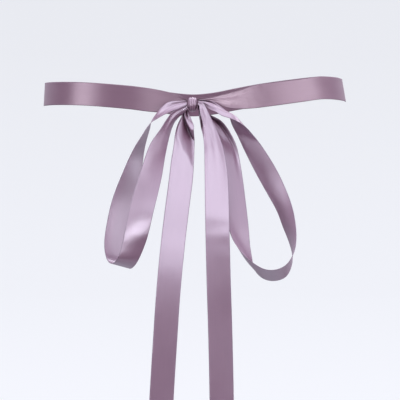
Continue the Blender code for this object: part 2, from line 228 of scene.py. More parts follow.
floor_height = cad_low.z - FLOOR_DROP
floor_mesh = bpy.data.meshes.new("studio_floor")
bm = bmesh.new()
profile = [bm.verts.new((radius, 0, floor_height + rise)) for radius, rise in FLOOR_PROFILE]
edges = [bm.edges.new(pair) for pair in zip(profile, profile[1:])]
bmesh.ops.spin(
    bm,
    geom=profile + edges,
    cent=(0, 0, 0),
    axis=(0, 0, 1),
    angle=math.tau,
    steps=FLOOR_SEGMENTS,
)
bmesh.ops.remove_doubles(bm, verts=bm.verts, dist=MM)
bmesh.ops.recalc_face_normals(bm, faces=bm.faces)
bm.to_mesh(floor_mesh)
bm.free()
floor_mesh.shade_smooth()
floor = bpy.data.objects.new("studio_floor", floor_mesh)
bpy.context.scene.collection.objects.link(floor)
floor.visible_glossy = False
floor.visible_diffuse = False
floor_paint = bpy.data.materials.new("pale_floor_paint")
floor_paint.use_nodes = True
paint = floor_paint.node_tree.nodes["Principled BSDF"]
paint.inputs["Base Color"].default_value = (*FLOOR_COLOUR, 1.0)
paint.inputs["Roughness"].default_value = FLOOR_ROUGHNESS
paint.inputs["Emission Color"].default_value = (*FLOOR_GLOW_COLOUR, 1.0)
paint.inputs["Emission Strength"].default_value = FLOOR_GLOW
floor_mesh.materials.append(floor_paint)
print("Floor faces:", len(floor_mesh.polygons))

# %% [markdown]
# ## The satin
# Satin is woven so that most of the warp threads float over the cross threads. The
# floats lie side by side along the ribbon, which gives the long silky shine. Three
# things make it: an uneven shine (anisotropy) that spreads across the floats, faint
# streaks along the ribbon where threads differ, and a very fine relief of the floats
# themselves. The pattern is laid out by a UV map made with each piece, with U across
# the ribbon and V along it, both counted in ribbon widths, so that it bends and folds
# with the cloth. The nodes could be set by hand in the shader editor. Here a few short
# helpers make and join them, so that every value stands in one place.

# %% Shorten the work with nodes
UV_NAME = "ribbon"


def add_node(tree, kind, **settings):
    """A new shader node with some of its settings made."""
    node = tree.nodes.new(kind)
    for name, value in settings.items():
        setattr(node, name, value)
    return node


def ramp(tree, source, low, high, low_value, high_value):
    """A value that goes smoothly from one level to another."""
    node = add_node(tree, "ShaderNodeMapRange", interpolation_type="SMOOTHSTEP")
    node.inputs["From Min"].default_value = low
    node.inputs["From Max"].default_value = high
    node.inputs["To Min"].default_value = low_value
    node.inputs["To Max"].default_value = high_value
    tree.links.new(source, node.inputs["Value"])
    return node.outputs["Result"]


def math_node(tree, operation, first, second=0.0):
    """One or two values combined. Each is a number or comes from another node."""
    node = add_node(tree, "ShaderNodeMath", operation=operation)
    for socket, value in zip(node.inputs, (first, second)):
        if isinstance(value, float):
            socket.default_value = value
        else:
            tree.links.new(value, socket)
    return node.outputs["Value"]


def mix_colour(tree, share, first, second, blend="MIX"):
    """Two colours mixed by a share. Each is a colour or comes from another node."""
    node = add_node(tree, "ShaderNodeMix", data_type="RGBA", blend_type=blend)
    tree.links.new(share, node.inputs["Factor"])
    for socket_name, colour in (("A", first), ("B", second)):
        if isinstance(colour, tuple):
            node.inputs[socket_name].default_value = (*colour, 1.0)
        else:
            tree.links.new(colour, node.inputs[socket_name])
    return node.outputs[2]


def ribbon_noise(tree, ribbon_map, across, along, detail):
    """A soft random pattern, by its spots to a ribbon width across and along."""
    mapping = add_node(tree, "ShaderNodeMapping")
    mapping.inputs["Scale"].default_value = (across, along, 1.0)
    tree.links.new(ribbon_map, mapping.inputs["Vector"])
    texture = add_node(tree, "ShaderNodeTexNoise")
    texture.inputs["Scale"].default_value = 1.0
    texture.inputs["Detail"].default_value = detail
    tree.links.new(mapping.outputs["Vector"], texture.inputs["Vector"])
    return texture.outputs["Fac"]


print("The satin reads the UV map called", UV_NAME)

# %% [markdown]
# ## Dye and selvedge
# No thread takes up the dye quite as its neighbour does. So the mauve moves a little
# between a lighter and a darker one, in fine streaks along the ribbon and in soft
# clouds. A single colour would look like painted plastic, and a painted picture would
# have to be as long as the ribbon. Noise stretched along the UV map has no end and no
# seam. A narrow firmer edge, the selvedge, runs along both sides. It is woven tighter
# and looks a little darker, and its colour is darkened further as painted shade, a thin
# dark line along each edge.

# %% Dye the cloth
RIBBON_WIDTH = 20.0
SATIN_LIGHT = (0.272, 0.138, 0.212)
SATIN_DARK = (0.240, 0.116, 0.184)
STREAK_SHARE = 0.55
CLOUD_SHARE = 0.45
SELVEDGE_WIDTH = 0.55
SELVEDGE_FADE_IN = 0.008
SELVEDGE_FADE_OUT = 0.004
# The selvedge colour: its own tighter weave, and partly painted shade along the edges.
SELVEDGE_SHADE = (0.55, 0.47, 0.55)
SELVEDGE_SHARE = 0.75


def selvedge_mask(tree, across):
    """One on the two selvedges and nothing between them."""
    from_middle = math_node(tree, "ABSOLUTE", math_node(tree, "SUBTRACT", across, 0.5))
    edge = 0.5 - SELVEDGE_WIDTH / RIBBON_WIDTH
    start = edge - SELVEDGE_FADE_IN
    end = edge + SELVEDGE_FADE_OUT
    return ramp(tree, from_middle, start, end, low_value=0.0, high_value=1.0)


def dye(tree, ribbon_map, streaks, selvedge, tone):
    """The dyed colour, uneven as real dye is, and darker on the selvedges, partly as painted shade."""
    clouds = ribbon_noise(tree, ribbon_map, across=2.2, along=0.9, detail=2.0)
    streak_part = math_node(tree, "MULTIPLY", streaks, STREAK_SHARE)
    cloud_part = math_node(tree, "MULTIPLY", clouds, CLOUD_SHARE)
    uneven = math_node(tree, "ADD", streak_part, cloud_part)
    lightness = ramp(tree, uneven, low=0.30, high=0.70, low_value=0.0, high_value=1.0)
    # The tone sets the dye's lightness; lowered further, it paints shade into the band's and the
    # knot's copies.
    toned = add_node(tree, "ShaderNodeHueSaturation")
    toned.inputs["Value"].default_value = tone
    tree.links.new(mix_colour(tree, lightness, SATIN_DARK, SATIN_LIGHT), toned.inputs["Color"])
    # Partly painted shade: the selvedge darkens the colour along both edges.
    edge_share = math_node(tree, "MULTIPLY", selvedge, SELVEDGE_SHARE)
    return mix_colour(tree, edge_share, toned.outputs["Color"], SELVEDGE_SHADE, "MULTIPLY")


print("Selvedge, share of the ribbon:", round(SELVEDGE_WIDTH / RIBBON_WIDTH, 4))

# %% [markdown]
# ## The relief of the floats
# A float is a thread that lies free on the face for a millimetre or so. A brick texture
# turned on its side makes them: long narrow bricks, each row shifted against the next.
# Under them lies a soft, hardly visible unevenness, as ribbon has once it was handled,
# and over them the step to the selvedge. All three are bump, because real geometry
# would need more than a million faces for threads a fifth of a millimetre wide.

# %% Weave the floats
FLOAT_WIDTH = 0.22
FLOAT_LENGTH = 1.5
FLOAT_SHIFT = 0.37
FLOAT_GAP = 0.0016
Relief = namedtuple("Relief", "depth strength")
HANDLED_RELIEF = Relief(0.4, 0.12)
FLOAT_RELIEF = Relief(0.02, 0.30)
SELVEDGE_RELIEF = Relief(0.10, 0.5)


def bump(tree, height, relief, beneath=None):
    """A relief of a given depth in millimetres, laid over another one."""
    node = add_node(tree, "ShaderNodeBump")
    node.inputs["Strength"].default_value = relief.strength
    node.inputs["Distance"].default_value = relief.depth * MM
    tree.links.new(height, node.inputs["Height"])
    if beneath is not None:
        tree.links.new(beneath, node.inputs["Normal"])
    return node.outputs["Normal"]


def floats(tree, split_map):
    """How high each place stands in the weave: one on a float, less between floats."""
    bricks = add_node(tree, "ShaderNodeTexBrick", offset=FLOAT_SHIFT, squash=1.0)
    bricks.inputs["Scale"].default_value = 1.0
    bricks.inputs["Brick Width"].default_value = FLOAT_LENGTH / RIBBON_WIDTH
    bricks.inputs["Row Height"].default_value = FLOAT_WIDTH / RIBBON_WIDTH
    bricks.inputs["Mortar Size"].default_value = FLOAT_GAP
    bricks.inputs["Mortar Smooth"].default_value = 1.0
    turned = add_node(tree, "ShaderNodeCombineXYZ")
    tree.links.new(split_map.outputs["Y"], turned.inputs["X"])
    tree.links.new(split_map.outputs["X"], turned.inputs["Y"])
    tree.links.new(turned.outputs["Vector"], bricks.inputs["Vector"])
    return math_node(tree, "SUBTRACT", 1.0, bricks.outputs["Fac"])


def woven_relief(tree, ribbon_map, split_map, selvedge):
    """The three reliefs of the ribbon, one laid over the other."""
    creases = ribbon_noise(tree, ribbon_map, across=5.0, along=1.6, detail=3.0)
    handled = bump(tree, creases, HANDLED_RELIEF)
    threads = bump(tree, floats(tree, split_map), FLOAT_RELIEF, handled)
    return bump(tree, selvedge, SELVEDGE_RELIEF, threads)


print("Satin floats across one ribbon:", round(RIBBON_WIDTH / FLOAT_WIDTH))

# %% [markdown]
# ## Painted shade in the folds
# Deep in a fold the cloth is lit only by itself and mirrors only itself. So it looks
# darker and redder there than the dye is, and it has no gleam. The light alone gives
# only a part of that. An ambient occlusion node, which feels how closed in each place
# is, gives the rest as painted shade: it darkens both the dye and the gleam there.

# %% Paint shade into the folds
CREVICE_REACH = 9.0
CREVICE_SHADE = (0.20, 0.09, 0.14)
CREVICE_SAMPLES = 8


def crevice_shade_mask(tree):
    """Painted shade share: one in the depth of a fold and nothing on the open cloth."""
    node = add_node(tree, "ShaderNodeAmbientOcclusion", samples=CREVICE_SAMPLES)
    node.inputs["Distance"].default_value = CREVICE_REACH * MM
    return ramp(tree, node.outputs["AO"], low=0.30, high=0.94, low_value=1.0, high_value=0.0)


print("Crevices are felt over", CREVICE_REACH, "mm")

# %% [markdown]
# ## The finished satin
# The last function joins the parts on one Principled shader. The shine is spread a
# little wider on the selvedges and from streak to streak. Values that are the same all
# over are set on the shader's own sockets. Three copies are mixed, all one ribbon from
# one dye bath, so their tones differ only by painted shade: the knot's is a touch darker,
# and the band's, which lies flat and away from the light, darker with a dimmer gleam.

# %% Mix the satin
SHINE_TIGHT = 0.305
SHINE_WIDE = 0.335
SELVEDGE_DULLNESS = 0.16
SHADER_VALUES = {
    "IOR": 2.1,
    "Specular IOR Level": 1.0,
    "Anisotropic": 0.40,
    "Sheen Weight": 0.12,
    "Sheen Roughness": 0.45,
    "Sheen Tint": (0.93, 0.86, 0.96, 1.0),
}


def satin(name, tone, gleam):
    """Woven satin ribbon, by how light its dye looks and the colour of its gleam, both lowered as
    painted shade in the darker copies.
    """
    material = bpy.data.materials.new(name)
    material.use_nodes = True
    tree = material.node_tree
    shader = tree.nodes["Principled BSDF"]
    ribbon_map = add_node(tree, "ShaderNodeUVMap", uv_map=UV_NAME).outputs["UV"]
    split_map = add_node(tree, "ShaderNodeSeparateXYZ")
    tree.links.new(ribbon_map, split_map.inputs["Vector"])
    streaks = ribbon_noise(tree, ribbon_map, across=60.0, along=0.6, detail=3.0)
    selvedge = selvedge_mask(tree, split_map.outputs["X"])
    deep = crevice_shade_mask(tree)

    dyed = dye(tree, ribbon_map, streaks, selvedge, tone)
    # Painted shade: the ambient occlusion share darkens the dye and dims the gleam in each crevice.
    shaded = mix_colour(tree, deep, dyed, CREVICE_SHADE, "MULTIPLY")
    tree.links.new(shaded, shader.inputs["Base Color"])
    crevice_shaded_gleam = tuple(CREVICE_SHADE[0] * part for part in gleam)
    tree.links.new(mix_colour(tree, deep, gleam, crevice_shaded_gleam), shader.inputs["Specular Tint"])

    shine = ramp(tree, streaks, low=0.3, high=0.7, low_value=SHINE_TIGHT, high_value=SHINE_WIDE)
    dullness = math_node(tree, "MULTIPLY", selvedge, SELVEDGE_DULLNESS)
    tree.links.new(math_node(tree, "ADD", shine, dullness), shader.inputs["Roughness"])
    relief = woven_relief(tree, ribbon_map, split_map, selvedge)
    tree.links.new(relief, shader.inputs["Normal"])
    tangent = add_node(tree, "ShaderNodeTangent", direction_type="UV_MAP", uv_map=UV_NAME)
    tree.links.new(tangent.outputs["Tangent"], shader.inputs["Tangent"])
    for socket_name, value in SHADER_VALUES.items():
        shader.inputs[socket_name].default_value = value
    return material


# Painted shade: the band's and the knot's copies get a lower tone and a dimmer gleam.
ribbon_satin = satin("dusky_mauve_satin", tone=0.97, gleam=(0.915, 0.88, 1.0))
shaded_band_satin = satin("waist_shaded_mauve_satin", tone=0.78, gleam=(0.66, 0.58, 0.63))
shaded_knot_satin = satin("knot_shaded_mauve_satin", tone=0.95, gleam=(0.88, 0.81, 0.92))
print("Satin nodes:", len(ribbon_satin.node_tree.nodes))

# %% [markdown]
# ## Drawing a ribbon through its edges
# A ribbon can bend and twist but it can't stretch, so it is best described by where its
# two edges run. Each row of a table is one cross-section: the place of edge a, the
# place of edge b, how much of the ribbon's width is spread out there (the rest is taken
# up in gathers), and how far its middle bulges. Side is to the right in the picture, up
# is up, and out is towards the camera, in millimetres. A smooth curve is read through
# the rows. A chain of bones or a cloth simulation could pose a ribbon too, but a table
# keeps every bend where it was measured.

# %% Read a smooth curve through a table
Section = namedtuple(
    "Section", "side_a up_a out_a side_b up_b out_b spread belly", defaults=(1.0, 0.0)
)


def place(side, up, out):
    """A point in metres from a table's millimetres."""
    return Vector((side, -out, up)) * MM


def slopes(stations, values):
    """The slope of a smooth curve at each station, from its neighbours."""
    last = len(values) - 1
    found = []
    for i in range(last + 1):
        before = max(i - 1, 0)
        after = min(i + 1, last)
        found.append((values[after] - values[before]) / (stations[after] - stations[before]))
    return found


def smooth_value(stations, values, tangents, at):
    """Read a smooth curve through the stations at one place along it."""
    span = 0
    while span < len(stations) - 2 and at > stations[span + 1]:
        span += 1
    length = stations[span + 1] - stations[span]
    t = (at - stations[span]) / length
    start = (2 * t**3 - 3 * t**2 + 1) * values[span]
    start_pull = (t**3 - 2 * t**2 + t) * length * tangents[span]
    end = (-2 * t**3 + 3 * t**2) * values[span + 1]
    end_pull = (t**3 - t**2) * length * tangents[span + 1]
    return start + start_pull + end + end_pull


quarter_way = smooth_value([0.0, 1.0], [0.0, 10.0], [10.0, 10.0], 0.25)
print("A straight line from 0 to 10 reads, a quarter of the way along:", quarter_way)

# %% [markdown]
# ## Sections along the ribbon
# The curves are read at short steps close to the knot, where the gathers are small, and
# at wider steps where the ribbon hangs free. That saves nearly half of the faces, and
# nothing that shows is lost. The knot may lie at one end of a stretch or at both.

# %% Read the sections
FINE_STEP = 1.5
WIDE_STEP = 3.5
FINE_REACH = 65.0


def reading_places(length, knot_ends):
    """Where to read the curves: close together by the knot, wider apart further away."""
    places = [0.0]
    while places[-1] < length:
        nearest = min([abs(places[-1] - end * length) for end in knot_ends])
        step = FINE_STEP if nearest < FINE_REACH * MM else WIDE_STEP
        places.append(places[-1] + step * MM)
    places[-1] = length
    return places


def read_sections(rows, knot_ends):
    """Sections read along a ribbon, each with how far along it is."""
    edges_a = [place(r.side_a, r.up_a, r.out_a) for r in rows]
    edges_b = [place(r.side_b, r.up_b, r.out_b) for r in rows]
    stations = [0.0]
    for i in range(1, len(rows)):
        middle = (edges_a[i] + edges_b[i]) / 2
        middle_before = (edges_a[i - 1] + edges_b[i - 1]) / 2
        stations.append(stations[-1] + (middle - middle_before).length)
    columns = [edges_a, edges_b, [r.spread for r in rows], [r.belly * MM for r in rows]]
    tangents = [slopes(stations, column) for column in columns]
    sections = []
    for at in reading_places(stations[-1], knot_ends):
        values = [
            smooth_value(stations, column, slope, at)
            for column, slope in zip(columns, tangents)
        ]
        sections.append([at, *values])
    return sections


print("Sections in the first 100 mm from the knot:", len(reading_places(0.1, (0,))))

# %% [markdown]
# ## Gathers and folds
# Where the ribbon runs into the knot it is squeezed to a fifth of its width, and the
# spare width stands up in small pleats. The depth of these gathers follows from the
# slack. The folds that catch the eye are placed on top. Each row of a fold table
# is one line across the ribbon at a place along it: a few pairs say where a ridge or a
# valley is, from 0 at edge a to 1 at edge b, and how far it lifts off the cloth, in
# millimetres. Two pairs close together make a sharp crease, two far apart a soft roll.
# Cloth simulation makes folds by itself, but never these ones in this place.

# %% Lift the folds
GATHER_SHARE = 0.16
Folds = namedtuple("Folds", "at pairs")


def gather_depth(width, spread, pleats):
    """How deep the small gathers stand for the width that they take up."""
    slack = max(1 / spread - 1, 0)
    return GATHER_SHARE * min(width / pleats * math.sqrt(slack) / math.pi, width / pleats)


def fold_pairs(table, at):
    """The ridges and valleys across the ribbon at one place along it."""
    stations = [row.at for row in table]
    at = min(max(at, stations[0]), stations[-1])
    pairs = []
    for k in range(len(table[0].pairs)):
        values = [Vector(row.pairs[k]) for row in table]
        pairs.append(smooth_value(stations, values, slopes(stations, values), at))
    return pairs


def fold_lift(pairs, across):
    """How far the folds lift the cloth at one share of the width, in millimetres."""
    if across <= pairs[0][0]:
        return pairs[0][1]
    for (near, near_lift), (far, far_lift) in zip(pairs, pairs[1:]):
        if across < far:
            t = (across - near) / (far - near)
            return near_lift + (far_lift - near_lift) * t * t * (3 - 2 * t)
    return pairs[-1][1]


print("A gather at half width stands", round(gather_depth(10.0, 0.5, 2), 2), "mm deep")

# %% [markdown]
# ## A grid of cloth
# The points across each section are joined with the next section's into a grid of
# quads. The UV map is filled in from the same two numbers that place each point, the
# share across and the length along, so the weave follows every bend. The knot's turn
# is a ring, and its last row joins its first.

# %% Join rows of points into a mesh
def grid_mesh(name, lines, lengths, closed=False):
    """A grid of quads with the ribbon's own UV map."""
    mesh = bpy.data.meshes.new(name)
    bm = bmesh.new()
    uv_layer = bm.loops.layers.uv.new(UV_NAME)
    grid = [[bm.verts.new(point) for point in line] for line in lines]
    last_across = len(lines[0]) - 1
    for i in range(len(grid) if closed else len(grid) - 1):
        following = grid[(i + 1) % len(grid)]
        for j in range(last_across):
            face = bm.faces.new((grid[i][j], grid[i][j + 1], following[j + 1], following[j]))
            corners = ((i, j), (i, j + 1), (i + 1, j + 1), (i + 1, j))
            for loop, (row, column) in zip(face.loops, corners):
                loop[uv_layer].uv = (column / last_across, lengths[row] / RIBBON_WIDTH)
    bm.to_mesh(mesh)
    bm.free()
    mesh.shade_smooth()
    return mesh


print("One ribbon width is", RIBBON_WIDTH, "mm, and one step of the UV map")

# %% [markdown]
# ## Cloth with a thickness
# A mesh of quads has no thickness, so the ribbon would vanish where it is seen edge-on.
# The subdivision first rounds what is left of the corners. The Solidify modifier then
# gives the cloth a third of a millimetre, half to each side. As modifiers, both can
# still be changed later. Each piece rides on the belt's only body, as nothing on it
# moves.

# %% Turn a mesh into cloth
CLOTH_THICKNESS = 0.36
SMOOTHING = 1


def cloth(name, mesh, material, thickness=CLOTH_THICKNESS):
    """A piece of cloth that rides on the belt's only body."""
    piece = bpy.data.objects.new(name, mesh)
    bpy.context.scene.collection.objects.link(piece)
    mesh.materials.append(material)
    smooth = piece.modifiers.new("smooth_folds", "SUBSURF")
    smooth.levels = SMOOTHING
    smooth.render_levels = SMOOTHING
    solid = piece.modifiers.new("cloth_thickness", "SOLIDIFY")
    solid.thickness = thickness * MM
    solid.offset = 0.0
    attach(piece, "root")
    return piece


print("Cloth thickness, mm:", CLOTH_THICKNESS)

# %% [markdown]
# ## One stretch of ribbon
# Everything so far meets in one function. At each section it works out which way the
# cloth faces, lays points across it, and lifts each point by the gathers, the bulge and
# the folds. The width is the ribbon's own, times the share that is spread out, so the
# cloth doesn't stretch.

# %% Build a stretch of ribbon
RIBBON_COLUMNS = 28
RIBBON_PLEATS = 3


def gather_lift(depth, pleats, across):
    """How far the small gathers sink the cloth at one share of the width."""
    return depth * (math.cos(math.tau * pleats * across) - 1) / 2


def ribbon(name, rows, folds, knot_ends):
    """One stretch of ribbon through its table, with its gathers and folds."""
    sections = read_sections(rows, knot_ends)
    middles = [(edge_a + edge_b) / 2 for at, edge_a, edge_b, spread, belly in sections]
    lines = []
    for i, (at, edge_a, edge_b, spread, belly) in enumerate(sections):
        before = middles[max(i - 1, 0)]
        after = middles[min(i + 1, len(middles) - 1)]
        direction = (edge_b - edge_a).normalized()
        face = (after - before).cross(direction).normalized()
        spread = min(spread, 1.0)
        width = RIBBON_WIDTH * MM * spread
        depth = gather_depth(width, spread, RIBBON_PLEATS)
        pairs = fold_pairs(folds, at / MM)
        line = []
        for j in range(RIBBON_COLUMNS + 1):
            across = j / RIBBON_COLUMNS
            lift = gather_lift(depth, RIBBON_PLEATS, across)
            lift += belly * math.sin(math.pi * across)
            lift += fold_lift(pairs, across) * MM
            line.append(middles[i] + direction * (across - 0.5) * width + face * lift)
        lines.append(line)
    lengths = [section[0] / MM for section in sections]
    piece = cloth(name, grid_mesh(name, lines, lengths), ribbon_satin)
    piece["flat_length"] = lengths[-1]
    print(name, "is", round(lengths[-1]), "mm long")
    return piece


print("Points across a ribbon:", RIBBON_COLUMNS + 1)

# %% [markdown]
# ## The left loop
# The ribbon leaves the knot, goes down behind, turns over at the bottom and comes back
# up in front. Edge a is the edge nearer the camera on the way down. The two strands
# cross just below the knot, where the front one passes to the right. The front strand
# twists slowly, and that slow turn past the high soft box makes the slanting gleam. A
# curve with a flat profile could draw the loop too, but it chooses its own twist at the
# bend, where two edges leave no doubt.

# %% Lay the left loop
LEFT_LOOP = [
    Section(-4.9, -14.2, 101.3, -4.9, -10.4, 100.2, 0.20),
    Section(-11.2, -17.0, 103.0, -10.6, -10.5, 100.0, 0.36),
    Section(-18.6, -20.4, 107.0, -20.6, -11.7, 100.2, 0.56, 0.6),
    Section(-24.5, -23.2, 113.0, -27.2, -16.9, 101.0, 0.70, 0.8),
    Section(-30.2, -26.4, 119.0, -31.8, -22.7, 103.0, 0.84, 0.5),
    Section(-34.9, -29.3, 122.5, -35.1, -28.2, 104.5, 0.92),
    Section(-38.4, -33.6, 125.0, -36.2, -33.4, 106.0, 0.98),
    Section(-42.6, -40.5, 127.5, -38.3, -41.0, 108.0),
    Section(-48.4, -49.7, 129.5, -40.8, -51.6, 111.0),
    Section(-56.6, -67.2, 131.5, -43.6, -70.4, 117.0),
    Section(-66.8, -93.2, 136.0, -51.5, -98.0, 124.0),
    Section(-71.9, -117.7, 142.0, -56.4, -121.6, 130.5),
    Section(-73.1, -131.9, 146.0, -57.2, -134.8, 134.5),
    Section(-70.8, -142.9, 149.6, -55.4, -146.6, 137.6),
    Section(-66.5, -146.2, 156.6, -52.0, -150.7, 143.6),
    Section(-61.8, -141.8, 162.0, -46.8, -146.0, 150.0),
    Section(-58.9, -131.4, 160.6, -40.0, -133.0, 151.4),
    Section(-56.0, -117.6, 158.2, -36.3, -121.3, 153.0),
    Section(-51.2, -98.0, 153.2, -32.6, -102.2, 151.0),
    Section(-43.3, -73.2, 146.0, -27.0, -75.6, 138.5),
    Section(-36.0, -49.0, 135.0, -22.8, -53.8, 121.5),
    Section(-27.6, -35.5, 125.0, -19.2, -38.3, 110.0, 0.88),
    Section(-22.3, -26.4, 117.0, -15.7, -29.3, 106.0, 0.66),
    Section(-17.7, -20.4, 111.0, -11.8, -24.3, 104.5, 0.50),
    Section(-11.0, -16.6, 106.5, -8.2, -21.3, 103.6, 0.34),
    Section(-4.9, -14.3, 104.6, -4.9, -18.2, 103.3, 0.21),
]
LEFT_LOOP_FOLDS = [
    Folds(0, ((0, -0.6), (0.3, -0.5), (0.75, 0.4), (1, 0))),
    Folds(8, ((0, -0.8), (0.3, -0.3), (0.72, 0.8), (1, 0))),
    Folds(16, ((0, -0.9), (0.3, 0.3), (0.6, 0.9), (1, -0.2))),
    Folds(26, ((0, -0.5), (0.3, 0.4), (0.6, 0.5), (1, 0))),
    Folds(38, ((0, 0), (0.3, 0.2), (0.6, 0.2), (1, 0))),
    Folds(55, ((0, 0), (0.3, 0), (0.6, 0), (1, 0))),
    Folds(160, ((0, 0), (0.3, 0), (0.6, 0), (1, 0))),
    Folds(275, ((0, 0), (0.2, 0), (0.6, 0), (1, 0))),
    Folds(296, ((0, 0), (0.2, 0.1), (0.6, -0.5), (1, 0.1))),
    Folds(310, ((0, -0.3), (0.2, 0.2), (0.6, -0.6), (1, 0.2))),
    Folds(322, ((0, -0.6), (0.2, 0.2), (0.6, -0.5), (1, 0.5))),
    Folds(333, ((0, -0.4), (0.2, 0.2), (0.6, -0.3), (1, 0.5))),
]
left_loop = ribbon("left_bow_loop", LEFT_LOOP, LEFT_LOOP_FOLDS, knot_ends=(0, 1))
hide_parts("bow_loop_left")

# %% [markdown]
# ## The right loop
# This loop is larger and rounder. Close to the knot it turns over a shoulder, so that
# its outer face shows above and its inner face below the near edge. At the bottom it
# turns edge-on to the camera, so the rows lie close together there to keep it round.

# %% Lay the right loop
RIGHT_LOOP = [
    Section(3.7, -12.8, 101.6, 3.7, -9.6, 100.2, 0.17),
    Section(9.9, -14.4, 102.6, 9.9, -9.9, 100.2, 0.25),
    Section(13.7, -18.2, 106.5, 15.3, -10.7, 100.8, 0.47, 0.4),
    Section(18.7, -20.5, 112.0, 19.9, -13.4, 102.0, 0.61, 0.8),
    Section(23.7, -23.7, 117.5, 24.1, -16.8, 104.0, 0.76, 1.2),
    Section(29.8, -25.5, 122.0, 27.9, -19.6, 107.5, 0.80, 1.6),
    Section(36.4, -28.2, 125.0, 29.5, -21.3, 110.5, 0.90, 2.0),
    Section(43.8, -33.2, 123.5, 30.3, -24.4, 111.5, 0.98, 1.6),
    Section(49.4, -38.6, 120.5, 31.8, -30.8, 110.0, 1.00, 0.8),
    Section(54.2, -44.4, 119.5, 36.9, -40.2, 108.0, 1.00, 0.2),
    Section(60.7, -54.2, 121.0, 44.6, -55.9, 109.0),
    Section(69.3, -68.4, 124.5, 52.9, -72.5, 113.5),
    Section(76.5, -84.3, 131.0, 61.5, -87.8, 118.5),
    Section(82.0, -100.4, 139.0, 69.6, -102.5, 124.0),
    Section(84.6, -115.2, 146.0, 74.4, -115.6, 129.0),
    Section(84.8, -127.5, 151.0, 79.3, -128.0, 132.0),
    Section(82.9, -136.9, 155.0, 82.2, -139.1, 135.3),
    Section(77.9, -145.5, 157.0, 81.4, -148.6, 137.5),
    Section(72.1, -149.6, 158.0, 76.8, -157.4, 140.0),
    Section(64.3, -151.4, 159.0, 67.2, -160.7, 141.5),
    Section(57.4, -150.1, 159.0, 58.6, -159.2, 141.0),
    Section(50.4, -146.3, 158.0, 52.6, -154.2, 140.0, 1.00, 0.6),
    Section(43.4, -140.6, 157.0, 49.9, -149.1, 140.0, 1.00, 1.6),
    Section(36.9, -133.1, 153.5, 48.9, -142.0, 139.0, 1.00, 2.2),
    Section(31.6, -124.7, 148.0, 47.6, -132.6, 136.5, 1.00, 1.6),
    Section(28.6, -112.0, 140.5, 45.7, -116.6, 132.5, 1.00, 0.6),
    Section(25.6, -93.8, 132.5, 43.2, -95.5, 125.5),
    Section(22.2, -70.5, 123.5, 40.3, -70.5, 116.0),
    Section(18.4, -52.1, 115.6, 36.8, -51.4, 108.5),
    Section(15.4, -37.8, 109.8, 31.7, -39.0, 104.0, 0.87, 0.6),
    Section(12.6, -27.8, 105.4, 24.0, -28.2, 101.6, 0.60, 0.8),
    Section(9.0, -20.6, 102.6, 14.6, -23.0, 100.4, 0.32),
    Section(4.0, -14.6, 100.6, 4.0, -18.2, 99.4, 0.19),
]
RIGHT_LOOP_FOLDS = [
    Folds(3, ((0, 0.4), (0.35, 0.7), (0.65, 0.1), (0.86, -0.8), (1, 0.2))),
    Folds(12, ((0, 0.6), (0.35, 1.3), (0.65, 0.5), (0.86, -1.1), (1, 0.3))),
    Folds(22, ((0, 0.4), (0.35, 1.2), (0.65, 0.4), (0.86, -1.0), (1, 0.3))),
    Folds(32, ((0, 0), (0.35, 0.6), (0.65, 0.2), (0.86, -0.6), (1, 0.2))),
    Folds(44, ((0, 0), (0.35, 0), (0.65, 0), (0.84, 0), (1, 0))),
    Folds(285, ((0, 0), (0.4, 0), (0.7, 0), (0.9, 0), (1, 0))),
    Folds(305, ((0, 0), (0.4, -0.2), (0.7, -0.1), (0.9, 0.4), (1, 0))),
    Folds(321, ((0, 0), (0.4, 0), (0.74, 0.3), (0.91, 1.3), (0.97, -0.3))),
    Folds(336, ((0, 0), (0.4, 0), (0.66, 0.6), (0.88, 2.4), (0.96, -0.4))),
    Folds(348, ((0, 0), (0.3, 0), (0.60, 1.4), (0.87, 3.2), (0.95, -0.6))),
    Folds(357, ((0, 0), (0.3, 0.2), (0.60, 1.3), (0.86, 2.2), (0.96, -0.4))),
    Folds(367, ((0, 0), (0.3, 0.2), (0.60, 0.4), (0.84, 0.5), (0.96, -0.2))),
]
right_loop = ribbon("right_bow_loop", RIGHT_LOOP, RIGHT_LOOP_FOLDS, knot_ends=(0, 1))
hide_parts("bow_loop_right")

# %% [markdown]
# ## The left tail
# The left tail drops from under the knot squeezed into pleats. One deep valley and a
# narrow bright pleat slant down beside the knot and run out at the edge within 50 mm.
# Below that the ribbon hangs almost flat, with a slow sway, to its square cut end. The
# sway is a millimetre or two, but without it the satin would look like a painted strip.

